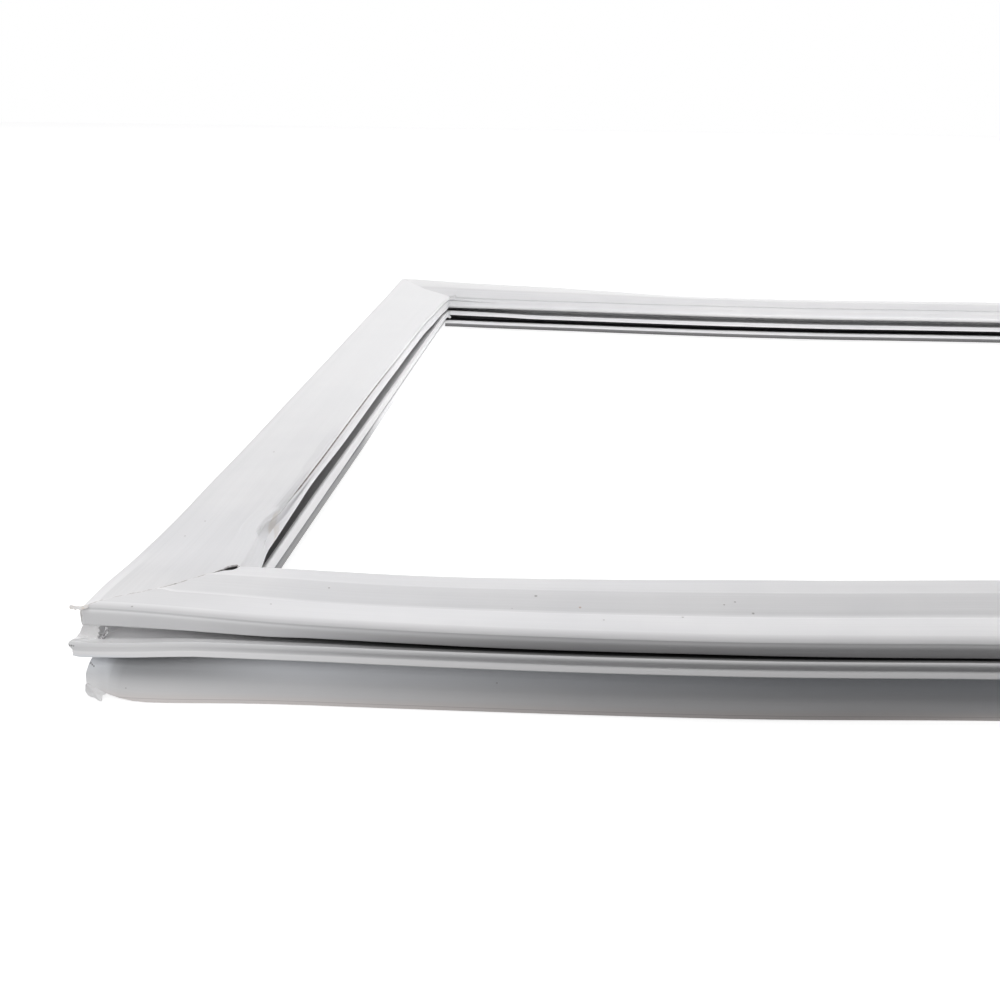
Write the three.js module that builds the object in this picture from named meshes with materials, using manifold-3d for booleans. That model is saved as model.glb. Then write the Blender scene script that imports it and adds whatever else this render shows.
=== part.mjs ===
import * as THREE from 'three';
import { mergeVertices } from 'three/addons/utils/BufferGeometryUtils.js';
import Module from 'manifold-3d';

// Refrigerator door gasket, lying flat with its sealing face up. Millimetres, Z up.
// The welded frame is a soft extrusion, mitred at four corners, with a magnet strip in each side.

// Size over the outer top edge of the frame
const SIZE_X = 700;
const SIZE_Y = 570;

// Section, measured inward from the outer top edge and up from the resting face
const FACE_Z = 20;
const FACE_WIDTH = 31;
const CREASE_U = 15.3;
const CREASE_DEPTH = 0.5;
const WALL = 0.9;
const HEAD_UNDER_Z = 16;
const OUTER_SLOT_DEPTH = 7.6;
const LIP_REACH = 3.4;
const LIP_DEPTH = 4;
const LIP_LEDGE = 1;
const CREVICE_Z = 10.4;
const CREVICE_HEIGHT = 0.8;
const CREVICE_END_U = 22.5;
const FIN_U = 28.6;
const FIN_UNDER_Z = 7.9;
const PLATE_UNDER_Z = 9.8;
const STEM_OUTER_U = 16.8;
const STEM_INNER_U = 20.4;
const BARB_U = 26.4;
const BARB_TOP_Z = 5;
const SKIRT_WALL = 1;
const SKIRT_BULGE = 0.4;

// Magnet strip in its pocket
const MAGNET_WIDTH = 12;
const MAGNET_THICKNESS = 2.1;
const MAGNET_GAP = 0.3;

// Free edge of the skirt, lifted at the welds and flared out beside them
const SKIRT_LIFT = 3.3;
const SKIRT_LIFT_RUN = 15;
const SKIRT_FLARE = 2.2;
const SKIRT_FLARE_RUN = 55;

// Where the crevice under the magnet pocket is pressed shut at a weld and where it is fully open
const CREVICE_SHUT_RUN = 46;
const CREVICE_OPEN_RUN = 78;

// Split weld at one inner corner, measured inward like the section
const SPLIT_FROM_U = 26.2;
const SPLIT_TO_U = 30;
const SPLIT_WIDTH = 1.1;
const SPLIT_SILL = 5;
const SPLIT_OVERSHOOT = 10;

// How the soft sides lie. Each row: share of the side from its first corner, then in mm the
// lift of the outer edge, of the crease and of the inner edge, the lean, the bow inward and
// the slide of the head along the side.
const COLUMN = { outer: 1, crease: 2, inner: 3, lean: 4, bow: 5, slide: 6 };
const FRONT_SIDE = [
  [0, 3.5, 2.6, 3.7, 0, 0, -0.9],
  [0.075, 1.2, 0.7, 2.9, 0, 0, 0],
  [0.145, 0.2, 0.4, 3.5, 0, 0.6, 0],
  [0.215, 0, 0.7, 4.5, 0, 2, 0],
  [0.315, 0, 1.1, 4.9, 0, 7.4, 0],
  [0.42, 0, 1.1, 4.3, 0, 11.1, 0],
  [0.5, 0, 1, 4.1, 0, 11.8, 0],
  [0.685, 0, 0.8, 3.2, 0, 7, 0],
  [0.82, 0, 0.4, 1.6, 0, 1.4, 0],
  [1, 0, 0, 0, 0, 0, 0],
];
const RIGHT_SIDE = [
  [0, 0, 0, 0, 0, 0, 0],
  [1, 0, 0, 0, 0, 0, 0],
];
const BACK_SIDE = [
  [0, 0, 0, 0, 0, 0, 0],
  [0.17, 0.2, 0, 0, 0, 6.5, 0],
  [0.37, 0.6, 0, -0.3, 0, 11.2, 0],
  [0.5, 0.8, 0.1, -0.3, 0, 12, 0],
  [0.58, 0.5, 0.2, -0.3, 0, 13.6, 0],
  [0.66, 0.3, 0.2, -0.4, 0, 15.6, 0],
  [0.74, 0.4, 0.3, -0.5, 0, 14.4, 0],
  [0.83, 2.5, 0.7, -0.9, 0, 10.1, 0],
  [0.875, 3.6, 0.9, -1, 0, 7.3, 0],
  [0.92, 4.2, 1, -1.1, 0, 5, 0],
  [0.955, 4.9, 1.2, -1, 0, 3, 1],
  [1, 5.9, 1.4, -0.8, 0, 0, 3.1],
];
const LEFT_SIDE = [
  [0, 5.9, 1.4, -0.8, -3.1, 0, 0],
  [0.07, 4, 1.4, -0.4, -4.05, 0, 0],
  [0.12, 2.9, 1.3, 0, -4.5, 0, 0],
  [0.18, 2, 1.3, 0.9, -4.95, 0, 0],
  [0.28, 1.4, 1.3, 1.8, -4.75, 0, 0],
  [0.38, 1, 1.3, 2.6, -4.25, 0, 0],
  [0.55, 0.6, 1.6, 4, -3.35, 0, 0],
  [0.7, 0.5, 1.8, 4.8, -2.15, 0, 0],
  [0.8, 0.8, 1.8, 4.9, -1.45, 0, 0],
  [0.865, 1.1, 1.6, 4.5, -0.75, 0, 0],
  [0.93, 2, 1.8, 3.8, -0.5, 0, 0],
  [1, 3.5, 2.6, 3.7, -0.9, 0, 0],
];

// The four lengths, counter-clockwise seen from above, with the shares where rings are cut
// and the shares between which the magnet strip lies.
const SIDES = [
  {
    name: 'front',
    length: SIZE_X,
    rows: FRONT_SIDE,
    shares: [0, 0.008, 0.02, 0.045, 0.08, 0.12, 0.165, 0.215, 0.27, 0.34, 0.42, 0.5, 0.58, 0.66,
      0.75, 0.83, 0.9, 0.955, 0.985],
    magnet: [0.045, 0.955],
    toFrame: (along, inward) => [along, inward],
  },
  {
    name: 'right',
    length: SIZE_Y,
    rows: RIGHT_SIDE,
    shares: [0, 0.02, 0.055, 0.5, 0.945, 0.98],
    magnet: [0.055, 0.945],
    toFrame: (along, inward) => [SIZE_X - inward, along],
  },
  {
    name: 'back',
    length: SIZE_X,
    rows: BACK_SIDE,
    shares: [0, 0.015, 0.045, 0.1, 0.17, 0.26, 0.37, 0.5, 0.58, 0.66, 0.74, 0.83, 0.9, 0.955,
      0.985],
    magnet: [0.045, 0.955],
    toFrame: (along, inward) => [SIZE_X - along, SIZE_Y - inward],
  },
  {
    name: 'left',
    length: SIZE_Y,
    rows: LEFT_SIDE,
    shares: [0, 0.015, 0.055, 0.11, 0.19, 0.29, 0.4, 0.55, 0.7, 0.8, 0.865, 0.9, 0.935, 0.97,
      0.985],
    magnet: [0.055, 0.865],
    toFrame: (along, inward) => [inward, SIZE_Y - along],
  },
];

// A section corner: inward, up, how much of the lift and of the lean it takes, rounding
function corner(u, z, lift, lean, round = 0) {
  return { at: new THREE.Vector4(u, z, lift, lean), round };
}

// Rounds the corners of a closed section loop
function roundedLoop(corners) {
  const points = [];
  corners.forEach((here, i) => {
    if (here.round === 0) {
      points.push(here.at);
      return;
    }
    const before = corners[(i + corners.length - 1) % corners.length].at;
    const after = corners[(i + 1) % corners.length].at;
    const cut = (other) => {
      const reach = Math.hypot(other.x - here.at.x, other.y - here.at.y);
      return here.at.clone().lerp(other, Math.min(here.round / reach, 0.45));
    };
    const start = cut(before);
    const end = cut(after);
    const steps = here.round > 1 ? 2 : 1;
    for (let k = 0; k <= steps; k += 1) {
      const t = k / steps;
      const first = start.clone().lerp(here.at, t);
      points.push(first.lerp(here.at.clone().lerp(end, t), t));
    }
  });
  return points;
}

// Outside of the section: head, inner crevice, fin, barbed anchor, skirt, lip, outer slot
function outerLoop() {
  const lipUnder = HEAD_UNDER_Z - LIP_DEPTH;
  const creviceTop = CREVICE_Z + CREVICE_HEIGHT;
  const inner = FACE_WIDTH;
  const barbOuterU = STEM_OUTER_U - 2.4;
  return roundedLoop([
    corner(OUTER_SLOT_DEPTH, HEAD_UNDER_Z + 0.1, 1, 1),
    corner(0.4, HEAD_UNDER_Z + 0.1, 1, 1, 0.9),
    corner(0, FACE_Z - 2.3, 1, 1),
    corner(0.3, FACE_Z - 1.6, 1, 1),
    corner(0.3, FACE_Z - 1.1, 1, 1),
    corner(1.5, FACE_Z - 0.5, 1, 1, 0.8),
    corner(5.5, FACE_Z, 1, 1, 2),
    corner(CREASE_U - 1.6, FACE_Z, 1, 1),
    corner(CREASE_U, FACE_Z - CREASE_DEPTH, 1, 1),
    corner(CREASE_U + 3.2, FACE_Z, 1, 1, 1.5),
    corner(inner, FACE_Z, 1, 1, 2.2),
    corner(inner, FACE_Z - 1.8, 1, 1),
    corner(inner - 0.8, FACE_Z - 2.1, 1, 1),
    corner(inner + 0.1, FACE_Z - 2.8, 0.98, 0.95, 0.6),
    corner(inner + 0.2, creviceTop + 2.4, 0.97, 0.9, 1.4),
    corner(inner - 1.4, creviceTop, 0.93, 0.85, 0.9),
    corner(CREVICE_END_U, creviceTop, 0.25, 0.2),
    corner(CREVICE_END_U, CREVICE_Z, 0, 0.05),
    corner(FIN_U, CREVICE_Z, 0, 0, 1.1),
    corner(FIN_U, FIN_UNDER_Z, 0, 0, 0.6),
    corner(STEM_INNER_U, FIN_UNDER_Z - 0.3, 0, 0),
    corner(STEM_INNER_U, BARB_TOP_Z, 0, 0),
    corner(BARB_U, BARB_TOP_Z - 0.5, 0, 0, 0.4),
    corner(BARB_U, BARB_TOP_Z - 2.6, 0, 0, 0.4),
    corner(STEM_INNER_U + 0.6, 0, 0, 0, 0.5),
    corner(STEM_OUTER_U, 0, 0, 0, 0.5),
    corner(barbOuterU, BARB_TOP_Z - 2.6, 0, 0),
    corner(barbOuterU, BARB_TOP_Z - 0.8, 0, 0),
    corner(STEM_OUTER_U, BARB_TOP_Z, 0, 0),
    corner(STEM_OUTER_U, PLATE_UNDER_Z, 0, 0),
    corner(9, lipUnder + 0.3, 0, 0),
    corner(5.6, lipUnder + 0.3, 0, 0, 0.8),
    corner(SKIRT_WALL + 0.9, 8, 0, 0, 1.2),
    corner(SKIRT_WALL - SKIRT_BULGE, 4, 0, 0, 2),
    corner(SKIRT_WALL, 0, 0, 0),
    corner(0, 0, 0, 0),
    corner(-SKIRT_BULGE - 0.1, 4, 0, 0, 2),
    corner(0.7, 8.6, 0, 0, 1.6),
    corner(3, lipUnder, 0, 0, 0.5),
    corner(-LIP_REACH + 0.3, lipUnder, 0, 0, 0.6),
    corner(-LIP_REACH - 0.1, lipUnder + 1, 0, 0, 0.5),
    corner(-LIP_REACH + LIP_LEDGE, lipUnder + 2.2, 0, 0),
    corner(-LIP_REACH + LIP_LEDGE, lipUnder + 2.7, 0, 0),
    corner(-LIP_REACH + 1.3, HEAD_UNDER_Z, 0, 0, 0.8),
    corner(0, HEAD_UNDER_Z - 0.8, 0, 0),
    corner(OUTER_SLOT_DEPTH, HEAD_UNDER_Z - 1, 0, 0.6),
  ]);
}

// Outer end and floor of the magnet pocket, shared by the pocket and the strip
function pocketBox() {
  const u1 = FACE_WIDTH - 2 * WALL;
  const u0 = u1 - MAGNET_WIDTH - 2 * MAGNET_GAP;
  const z1 = FACE_Z - WALL;
  const z0 = z1 - MAGNET_THICKNESS - 2 * MAGNET_GAP;
  return { u0, u1, z0, z1 };
}

// Hollow of the head: a flat bead chamber joined by a low neck to the magnet pocket
function headHollow() {
  const { u0, u1, z0, z1 } = pocketBox();
  const floor = HEAD_UNDER_Z + WALL;
  return roundedLoop([
    corner(WALL + 0.2, floor, 1, 1),
    corner(WALL + 0.2, z1, 1, 1, 0.5),
    corner(u0 - 2.2, z1, 1, 1),
    corner(u0 - 2.2, floor + 1.2, 1, 1),
    corner(u0, floor + 1.2, 1, 1),
    corner(u0, z1, 1, 1),
    corner(u1, z1, 1, 1),
    corner(u1, z0, 1, 1),
    corner(u0, z0, 1, 1),
    corner(u0, floor + 0.5, 1, 1),
    corner(u0 - 2.2, floor + 0.5, 1, 1),
    corner(u0 - 2.2, floor, 1, 1),
  ]);
}

// Bellows chamber between the pocket and the sloping base plate
function bellowsHollow() {
  const top = pocketBox().z0 - WALL - 0.1;
  const bottom = CREVICE_Z + CREVICE_HEIGHT + WALL;
  const inner = FACE_WIDTH - WALL;
  return roundedLoop([
    corner(OUTER_SLOT_DEPTH + 2.4, HEAD_UNDER_Z - 1.6, 0, 0.6),
    corner(OUTER_SLOT_DEPTH + 2.4, HEAD_UNDER_Z - 0.6, 1, 1),
    corner(inner - 0.4, top, 1, 1, 0.6),
    corner(inner + 0.2, bottom + 1.8, 0.97, 0.9, 1),
    corner(inner - 0.9, bottom, 0.93, 0.85, 0.6),
    corner(CREVICE_END_U - 0.5, bottom, 0.25, 0.2),
    corner(CREVICE_END_U - WALL, bottom - WALL, 0.1, 0.1),
  ]);
}

function magnetLoop() {
  const { u0, u1, z0, z1 } = pocketBox();
  const gap = MAGNET_GAP;
  return roundedLoop([
    corner(u0 + gap, z0 + gap, 1, 1),
    corner(u0 + gap, z1 - gap, 1, 1, 0.3),
    corner(u1 - gap, z1 - gap, 1, 1, 0.3),
    corner(u1 - gap, z0 + gap, 1, 1),
  ]);
}

// Smooth value of one column of a side's rows at a share of the side
function valueAt(rows, column, share) {
  let i = 0;
  while (i < rows.length - 2 && share > rows[i + 1][0]) i += 1;
  const slope = (a, b) => (rows[b][column] - rows[a][column]) / (rows[b][0] - rows[a][0]);
  const tangent = (k) => {
    if (k === 0 || k === rows.length - 1) return 0;
    const left = slope(k - 1, k);
    const right = slope(k, k + 1);
    return left * right <= 0 ? 0 : (2 * left * right) / (left + right);
  };
  const span = rows[i + 1][0] - rows[i][0];
  const t = (share - rows[i][0]) / span;
  const t2 = t * t;
  const t3 = t2 * t;
  return (2 * t3 - 3 * t2 + 1) * rows[i][column] + (t3 - 2 * t2 + t) * span * tangent(i)
    + (3 * t2 - 2 * t3) * rows[i + 1][column] + (t3 - t2) * span * tangent(i + 1);
}

// How far the head is lifted at a distance inward
function liftAt(side, share, inward) {
  const outer = valueAt(side.rows, COLUMN.outer, share);
  const crease = valueAt(side.rows, COLUMN.crease, share);
  const inner = valueAt(side.rows, COLUMN.inner, share);
  if (inward < CREASE_U) {
    return THREE.MathUtils.lerp(outer, crease, Math.max(inward, 0) / CREASE_U);
  }
  return THREE.MathUtils.lerp(crease, inner, (inward - CREASE_U) / (FACE_WIDTH - CREASE_U));
}

function weldDistance(side, along) {
  return Math.max(0, Math.min(along, side.length - along));
}

// Lift of a section point. The crevice roof stays down near a weld and never sinks to the fin.
function lifted(side, share, along, point) {
  const lift = liftAt(side, share, point.x) * point.z;
  const roof = point.x > STEM_INNER_U && point.y > CREVICE_Z && point.y < HEAD_UNDER_Z - 1;
  if (!roof) return lift;
  const distance = weldDistance(side, along);
  const open = THREE.MathUtils.smoothstep(distance, CREVICE_SHUT_RUN, CREVICE_OPEN_RUN);
  return Math.max(lift * open, 0);
}

// How the skirt moves up and inward near a weld: full at its free edge and none at the lip
function skirtMove(side, along, point) {
  const root = HEAD_UNDER_Z - LIP_DEPTH;
  if (point.x > 6 || point.y >= root) return { up: 0, inward: 0 };
  const distance = weldDistance(side, along);
  const free = 1 - point.y / root;
  const near = Math.max(0, 1 - distance / SKIRT_LIFT_RUN);
  const wave = Math.sin(Math.PI * Math.sqrt(Math.min(1, distance / SKIRT_FLARE_RUN)));
  return { up: SKIRT_LIFT * near * near * free, inward: -SKIRT_FLARE * wave * wave * free };
}

// Where a section point lies in space at a share of a side
function place(side, share, point) {
  const along = point.x + share * (side.length - 2 * point.x);
  const lean = valueAt(side.rows, COLUMN.lean, share) * point.w;
  const slide = valueAt(side.rows, COLUMN.slide, share) * point.w;
  const bow = valueAt(side.rows, COLUMN.bow, share);
  const skirt = skirtMove(side, along, point);
  const up = point.y + lifted(side, share, along, point) + skirt.up;
  const [x, y] = side.toFrame(along + slide, point.x + lean + bow + skirt.inward);
  return new THREE.Vector3(x, y, up);
}

// Faces out when the rings run with the section loop clockwise along the side
function skinGeometry(rings, closed) {
  const size = rings[0].length;
  const positions = rings.flat().flatMap((point) => point.toArray());
  const index = [];
  const last = closed ? rings.length : rings.length - 1;
  for (let i = 0; i < last; i += 1) {
    const a = i * size;
    const b = ((i + 1) % rings.length) * size;
    for (let k = 0; k < size; k += 1) {
      const next = (k + 1) % size;
      index.push(a + k, b + k, b + next, a + k, b + next, a + next);
    }
  }
  if (!closed) {
    const end = (rings.length - 1) * size;
    for (let k = 1; k < size - 1; k += 1) {
      index.push(0, k, k + 1, end, end + k + 1, end + k);
    }
  }
  const geometry = new THREE.BufferGeometry();
  geometry.setAttribute('position', new THREE.Float32BufferAttribute(positions, 3));
  geometry.setIndex(index);
  return geometry;
}

// A section loop carried once round all four sides
function ringGeometry(loop) {
  const rings = SIDES.flatMap((side) => (
    side.shares.map((share) => loop.map((point) => place(side, share, point)))
  ));
  return skinGeometry(rings, true);
}

// Lens-shaped cut standing on the mitre of the split weld
function splitGeometry() {
  const from = SPLIT_FROM_U * Math.SQRT2;
  const to = SPLIT_TO_U * Math.SQRT2;
  const middle = (from + to) / 2;
  const shape = new THREE.Shape();
  shape.moveTo(from, 0);
  shape.quadraticCurveTo(middle, -SPLIT_WIDTH, to, 0);
  shape.quadraticCurveTo(middle, SPLIT_WIDTH, from, 0);
  const bottom = CREVICE_Z + SPLIT_SILL;
  const geometry = new THREE.ExtrudeGeometry(shape, {
    depth: FACE_Z + SPLIT_OVERSHOOT - bottom,
    bevelEnabled: false,
    curveSegments: 4,
  });
  geometry.rotateZ(Math.PI / 4);
  geometry.translate(0, 0, bottom);
  return geometry;
}

function solid(wasm, geometry) {
  const plain = geometry.clone();
  plain.deleteAttribute('normal');
  plain.deleteAttribute('uv');
  const merged = mergeVertices(plain, 1e-5);
  return new wasm.Manifold(new wasm.Mesh({
    numProp: 3,
    vertProperties: new Float32Array(merged.attributes.position.array),
    triVerts: new Uint32Array(merged.index.array),
  }));
}

function toGeometry(body) {
  const mesh = body.getMesh();
  const geometry = new THREE.BufferGeometry();
  geometry.setAttribute('position', new THREE.Float32BufferAttribute(mesh.vertProperties, 3));
  geometry.setIndex(Array.from(mesh.triVerts));
  return geometry;
}

// The welded frame with its hollows, opened by the split weld
function frameGeometry(wasm) {
  const body = solid(wasm, ringGeometry(outerLoop()))
    .subtract(solid(wasm, ringGeometry(headHollow())))
    .subtract(solid(wasm, ringGeometry(bellowsHollow())))
    .subtract(solid(wasm, splitGeometry()));
  return toGeometry(body);
}

// One flexible magnet strip, following its side and stopping short of the welds
function magnetGeometry(side) {
  const [from, to] = side.magnet;
  const rings = side.shares
    .filter((share) => share >= from && share <= to)
    .map((share) => magnetLoop().map((point) => place(side, share, point)));
  return skinGeometry(rings, false);
}

function mesh(name, geometry, material) {
  geometry.computeVertexNormals();
  const result = new THREE.Mesh(geometry, material);
  result.name = name;
  return result;
}

const wasm = await Module();
wasm.setup();

const frameMaterial = new THREE.MeshStandardMaterial({ color: '#e9ebeb', roughness: 0.45 });
const magnetMaterial = new THREE.MeshStandardMaterial({ color: '#2b2522', roughness: 0.7 });

const gasket = new THREE.Group();
gasket.name = 'refrigerator_door_gasket';
gasket.add(mesh('gasket_frame', frameGeometry(wasm), frameMaterial));
for (const side of SIDES) {
  gasket.add(mesh(`magnet_strip_${side.name}`, magnetGeometry(side), magnetMaterial.clone()));
}
gasket.position.set(-SIZE_X / 2, -SIZE_Y / 2, 0);
gasket.updateMatrixWorld(true);

export default gasket;
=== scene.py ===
import math
import random

import bpy
import numpy as np
from mathutils import Matrix, Vector


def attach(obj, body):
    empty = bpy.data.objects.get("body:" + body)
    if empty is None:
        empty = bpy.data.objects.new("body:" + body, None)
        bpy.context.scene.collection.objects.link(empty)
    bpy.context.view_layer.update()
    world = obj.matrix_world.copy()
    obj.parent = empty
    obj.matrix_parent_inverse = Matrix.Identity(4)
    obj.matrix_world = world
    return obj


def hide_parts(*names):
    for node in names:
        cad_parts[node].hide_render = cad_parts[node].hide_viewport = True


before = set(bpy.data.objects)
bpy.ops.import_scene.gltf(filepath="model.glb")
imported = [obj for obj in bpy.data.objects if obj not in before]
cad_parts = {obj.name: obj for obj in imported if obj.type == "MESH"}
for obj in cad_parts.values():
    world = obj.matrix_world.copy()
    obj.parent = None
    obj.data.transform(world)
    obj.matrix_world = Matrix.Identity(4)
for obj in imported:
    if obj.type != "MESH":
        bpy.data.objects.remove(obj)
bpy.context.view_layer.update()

MM = 0.001

# Size and section, in mm, as in the solids
SIZE_X = 700.0
SIZE_Y = 570.0
FACE_Z = 20.0
FACE_WIDTH = 31.0
CREASE_U = 15.3
CREASE_DEPTH = 0.5
HEAD_UNDER_Z = 16.0
SLOT_DEPTH = 7.6
LIP_REACH = 3.4
LIP_UNDER_Z = 12.0
CREVICE_Z = 10.4
CREVICE_TOP_Z = 11.2
CREVICE_END_U = 22.5
FIN_U = 28.6
FIN_UNDER_Z = 7.9
PLATE_UNDER_Z = 9.8
STEM_OUTER_U = 16.8
STEM_INNER_U = 20.4
BARB_U = 26.4
BARB_TOP_Z = 5.0
SKIRT_WALL = 1.0
SKIRT_BULGE = 0.4
SKIRT_LIFT = 3.3
SKIRT_LIFT_RUN = 15.0
SKIRT_FLARE = 2.2
SKIRT_FLARE_RUN = 55.0
CREVICE_SHUT_RUN = 46.0
CREVICE_OPEN_RUN = 78.0

# Finer than the solids, in mm. A pair of numbers is a run along a side over which a form comes or goes.
CREASE_LINE_U = 14.2
CREASE_ZONE_U = (12, 20)
FRONT_CREASE_RUN = (19, 15.3)
BACK_CREASE_RUN = (60, 330)
FACE_TOP_U = 9.5
FACE_TOP_Z = FACE_Z + 0.16
FACE_TILT = 0.01
FACE_RIM_Z = FACE_Z - 1.6
SKIRT_TOP_Z = LIP_UNDER_Z - 0.35
LIP_ROOT_U = 6.0
LIP_PRESSED = 0.85
LIP_PRESSED_RUN = (10, 130)
EDGE_FILL = 0.5
EDGE_FILL_RUN = (0, 25)
BACK_FLAT = 0.9
BACK_FLAT_RUN = (0, 40)
BACK_ROOF_RAISE = 1.9
BACK_ROOF_RUN = (-15, 65)
FAR_FIN_DROP = 0.5
FAR_FIN_RUN = (30, 60)
NOSE_RUN = (69.5, 75.0)
NOSE_THIN = 1.5
NOSE_THIN_FROM = (68, 76)
NOSE_THIN_TO = (80, 118)
NEAR_BARB_SHIFT = 0.3
NEAR_BARB_RUN = (120, 260)
NEAR_LEFT_OPEN_RUN = 66.0
LEFT_OPEN_MORE = 0.17
LEFT_OPEN_SHARES = (0.6, 0.8)
MOUTH_RAISE = 1.4
MOUTH_FROM = (40, 57)
MOUTH_TO = (110, 200)
RING_STEP = 9
NOSE_RING_GAP = 4

# Rows: share of the side, lift of outer edge, crease and inner edge, lean, bow, slide
OUTER, CREASE, INNER, LEAN, BOW, SLIDE = range(1, 7)
FRONT = [
    (0, 3.5, 2.6, 3.7, 0, 0, -0.9), (0.075, 1.2, 0.7, 2.9, 0, 0, 0), (0.145, 0.2, 0.4, 3.5, 0, 0.6, 0),
    (0.215, 0, 0.7, 4.5, 0, 2, 0), (0.315, 0, 1.1, 4.9, 0, 7.4, 0), (0.42, 0, 1.1, 4.3, 0, 11.1, 0),
    (0.5, 0, 1, 4.1, 0, 11.8, 0), (0.685, 0, 0.8, 3.2, 0, 7, 0), (0.82, 0, 0.4, 1.6, 0, 1.4, 0),
    (1, 0, 0, 0, 0, 0, 0),
]
RIGHT = [(0, 0, 0, 0, 0, 0, 0), (1, 0, 0, 0, 0, 0, 0)]
BACK = [
    (0, 0, 0, 0, 0, 0, 0), (0.17, 0.2, 0, 0, 0, 6.5, 0), (0.37, 0.6, 0, -0.3, 0, 11.2, 0),
    (0.5, 0.8, 0.1, -0.3, 0, 12, 0), (0.58, 0.5, 0.2, -0.3, 0, 13.6, 0), (0.66, 0.3, 0.2, -0.4, 0, 15.6, 0),
    (0.74, 0.4, 0.3, -0.5, 0, 14.4, 0), (0.83, 2.5, 0.7, -0.9, 0, 10.1, 0),
    (0.875, 3.6, 0.9, -1, 0, 7.3, 0), (0.92, 4.2, 1, -1.1, 0, 5, 0), (0.955, 4.9, 1.2, -1, 0, 3, 1),
    (1, 5.9, 1.4, -0.8, 0, 0, 3.1),
]
LEFT = [
    (0, 5.9, 1.4, -0.8, -3.1, 0, 0), (0.07, 4, 1.4, -0.4, -4.05, 0, 0), (0.12, 2.9, 1.3, 0, -4.5, 0, 0),
    (0.18, 2, 1.3, 0.9, -4.95, 0, 0), (0.28, 1.4, 1.3, 1.8, -4.75, 0, 0), (0.38, 1, 1.3, 2.6, -4.25, 0, 0),
    (0.55, 0.6, 1.6, 4, -3.35, 0, 0), (0.7, 0.5, 1.8, 4.8, -2.15, 0, 0), (0.8, 0.8, 1.8, 4.9, -1.45, 0, 0),
    (0.865, 1.1, 1.6, 4.5, -0.75, 0, 0), (0.93, 2, 1.8, 3.8, -0.5, 0, 0), (1, 3.5, 2.6, 3.7, -0.9, 0, 0),
]
SIDES = [
    ("front", SIZE_X, FRONT), ("right", SIZE_Y, RIGHT), ("back", SIZE_X, BACK), ("left", SIZE_Y, LEFT),
]

# Lift of the lip and of the slot's upper wall along the front side, and how far the pocket's edge moves
# inward along the left side: (distance from the near left corner, mm)
LIP_WAVE = [(0, -0.4), (11, -0.1), (18, 0.3), (28, 0.8), (56, 0.75), (75, 0.5), (99, 0.28), (122, 0.15),
            (150, 0.12), (200, 0), (700, 0)]
WALL_WAVE = [(0, 0), (28, 0.15), (42, 0.2), (56, 0.55), (75, 0.5), (99, 0.33), (122, 0.35), (145, 0.4),
             (169, 0.2), (200, 0), (700, 0)]
EDGE_SHIFT = [(0, 0), (31, 0), (46, -0.9), (60, -2.4), (67, -4.0), (72, -4.2), (76, -3.9), (79, -3.1),
              (84, -1.9), (98, -1.2), (118, -0.5), (139, 0.1), (161, 0.3), (240, 0.75), (355, 1.05),
              (470, 0.8), (520, 0.3), (539, 0), (570, 0)]

# Painted shades: 1 is painted black, as deep in a slot, and below 0 a painted highlight makes the surface
# whiter. A pair is again a run in mm.
CREVICE_SHADE = [(0, 0.64), (90, 0.64), (160, 0.5), (240, 0.42), (355, 0.36), (570, 0.36)]
SLOT_SHADE_LEAST = 0.1
SLOT_SHADE_RUN = (4, 100)
GROOVE_SHADE_RUN = (20, 250)
FAR_CREVICE_RUN = (46, 58)
NEAR_BARB_SHADE = 0.56
NEAR_BARB_SHADE_RISE = 0.02
FAR_BARB_SHADE = -0.6
BARB_SHADE_RUN = (230, 350)
FIN_SHADE = -0.6
LEFT_FACE_SHADE = -0.72
LEFT_FACE_RUN = (25, 330)
NEAR_CORNER_RUN = (15, 80)
LEFT_CORNER_SHADE = 0.22
FRONT_CORNER_SHADE = 0.24
FOLD_SHADE = 0.5
FOLD_FROM = (75, 86)
FOLD_TO = (110, 200)
NOSE_LINE_SHADE = 0.36
NOSE_LINE_FROM = (79, 87)
NOSE_LINE_TO = (200, 420)
INNER_FACET_SHADE = 0.19
INNER_FACET_U = (14, 15.5)
SKIRT_SHADE_RUN = (12, 90)
SKIRT_CORNER_FROM = (0.5, 9)
SKIRT_CORNER_TO = (16, 75)
SKIRT_CORNER_SHADE = 0.18
SKIRT_CORNER_RISE = 0.36
SKIRT_CORNER_Z = (1.5, 9)
SKIRT_WELD_SHADE = -0.9
SKIRT_WELD_RUN = (0, 6)
LIP_SHADE_LEAST = 0.35
LIP_SHADE_RUN = (0, 130)
BACK_CREVICE_SHADE = 0.8
BACK_CREVICE_FADE = 0.35
BACK_CREVICE_RUN = (10, 90)
BACK_FOOT_SHADE = 0.5
BACK_FOOT_HEIGHT = 2.4
BACK_FACE_SHADE = -0.95
BACK_FACE_U = (15, 9)
SEAM_RUN = 20
FAR_SEAM_STRENGTH = 0.25

# Soft local pushes: centre, radius and push, in mm
DENTS = [
    (-322, 254, 20, 11, 1.3, 2.2, 0),
    (-353.4, -288.3, 12, 1.7, 1.3, 0.1, 0.2),
    (-352.4, -287.4, 14.2, 1.4, -0.7, 0, 0),
]

# Split in the near left weld
SPLIT_FROM_U = 26.9
SPLIT_TO_U = 30.8
SPLIT_HALF = 1.05
SPLIT_DEPTH = 3.2
SPLIT_GAPE = {"front": -0.3, "left": 0.55}
SPLIT_GAPE_RUN = 1.3
SPLIT_PART_RUN = 1.5
MITRE_REACH = 0.001
SPLIT_WALL_REACH = 0.03
SPLIT_HIGHLIGHT_REACH = 0.35


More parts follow.
